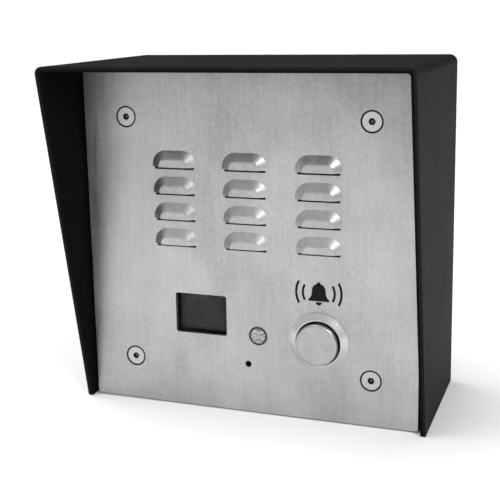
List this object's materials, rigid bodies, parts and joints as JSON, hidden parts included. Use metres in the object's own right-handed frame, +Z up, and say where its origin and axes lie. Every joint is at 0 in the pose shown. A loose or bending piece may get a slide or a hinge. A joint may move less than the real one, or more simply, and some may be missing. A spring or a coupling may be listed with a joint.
{
  "type": "door intercom panel",
  "caption": "Louvred square metal faceplate with loudspeaker, camera window, status lamp and sprung call button, in a surface wall box with a sloped rain hood.",
  "frame": {"origin": "on the wall face (the rear face of the box), level with the centre of the square faceplate", "axes": "+Z up, +X to the visitor's right, +Y into the wall; the front faces -Y"},
  "size_m": [0.1334, 0.0833, 0.1302],
  "materials": {
    "black_powder_coat": "satin",
    "brushed_stainless": "brushed",
    "polished_stainless": "polished",
    "plated_steel": "plain",
    "contact_metal": "plain",
    "copper": "plain",
    "ferrite": "matt",
    "black_rubber": "matt",
    "mesh_cloth": "matt",
    "speaker_paper": "matt",
    "smoked_window": "polished",
    "lens_glass": "polished",
    "black_plastic": "matt",
    "lens_metal": "anodised black",
    "lamp": "translucent",
    "circuit_board": "solder mask",
    "silicon": "polished",
    "terminal_green": "matt",
    "laminations": "plain",
    "can_sleeve": "gloss",
    "trimmer_blue": "gloss",
    "trimmer_rotor": "matt",
    "wire_sleeve": "satin"
  },
  "bodies": {
    "panel": {"hood_shell": "black_powder_coat", "back_pan": "black_powder_coat", "box_floor": "black_powder_coat", "mounting_frame": "black_powder_coat", "faceplate": "brushed_stainless", "faceplate_screws": "polished_stainless", "button_bezel": "polished_stainless", "clinch_nuts": "plated_steel", "weld_studs": "plated_steel", "stud_nuts": "plated_steel", "speaker_basket": "plated_steel", "speaker_top_plate": "plated_steel", "speaker_yoke": "plated_steel", "camera_bracket": "plated_steel", "pivot_screws": "plated_steel", "button_spring": "plated_steel", "button_washer": "plated_steel", "button_nut": "plated_steel", "board_screws": "plated_steel", "terminal_screws": "plated_steel", "board_standoffs": "plated_steel", "mic_capsule": "plated_steel", "button_terminals": "contact_metal", "speaker_magnet": "ferrite", "cable_bushing": "black_rubber", "faceplate_gasket": "black_rubber", "speaker_gasket": "black_rubber", "speaker_surround": "black_rubber", "window_tape": "black_rubber", "mic_boot": "black_rubber", "button_gasket": "black_rubber", "louvre_screen": "mesh_cloth", "camera_window": "smoked_window", "led_holder": "black_plastic", "contact_block": "black_plastic", "door_relay": "black_plastic", "chips": "black_plastic", "status_led": "lamp", "main_board": "circuit_board", "terminal_block": "terminal_green", "line_transformer": "laminations", "capacitors": "can_sleeve", "trimmer_cases": "trimmer_blue", "wire_harness": "wire_sleeve", "camera_cable": "wire_sleeve"},
    "call_button": {"button_cap": "polished_stainless", "cap_oring": "black_rubber", "plunger_clip": "plated_steel", "contact_bridge": "contact_metal"},
    "loudspeaker_cone": {"speaker_cone": "speaker_paper", "dust_cap": "speaker_paper", "voice_coil": "copper"},
    "camera_module": {"camera_cradle": "plated_steel", "camera_board": "circuit_board", "lens_holder": "black_plastic", "lens_barrel": "lens_metal", "lens_glass": "lens_glass", "image_sensor": "silicon"},
    "volume_rotor": {"volume_trimmer": "trimmer_rotor"},
    "mic_rotor": {"mic_trimmer": "trimmer_rotor"}
  },
  "joints": [
    {"name": "call_button_press", "type": "slide", "parent": "panel", "child": "call_button", "axis": [0, 1, 0], "range_m": [0, 0.0018], "stiffness_N_per_m": 700, "springref_m": -0.0015, "deforming": ["button_spring"]},
    {"name": "loudspeaker_travel", "type": "slide", "parent": "panel", "child": "loudspeaker_cone", "axis": [0, 1, 0], "range_m": [-0.0005, 0.0005], "stiffness_N_per_m": 1500, "deforming": ["speaker_surround"]},
    {"name": "camera_tilt", "type": "hinge", "parent": "panel", "child": "camera_module", "pos_m": [-0.0205, -0.0401, -0.028], "axis": [1, 0, 0], "range_deg": [-10, 10], "deforming": ["camera_cable"]},
    {"name": "volume_turn", "type": "hinge", "parent": "panel", "child": "volume_rotor", "pos_m": [-0.004, -0.0166, 0.0245], "axis": [0, 1, 0], "range_deg": [-105, 105]},
    {"name": "mic_gain_turn", "type": "hinge", "parent": "panel", "child": "mic_rotor", "pos_m": [0.008, -0.0166, 0.0245], "axis": [0, 1, 0], "range_deg": [-105, 105]}
  ]
}
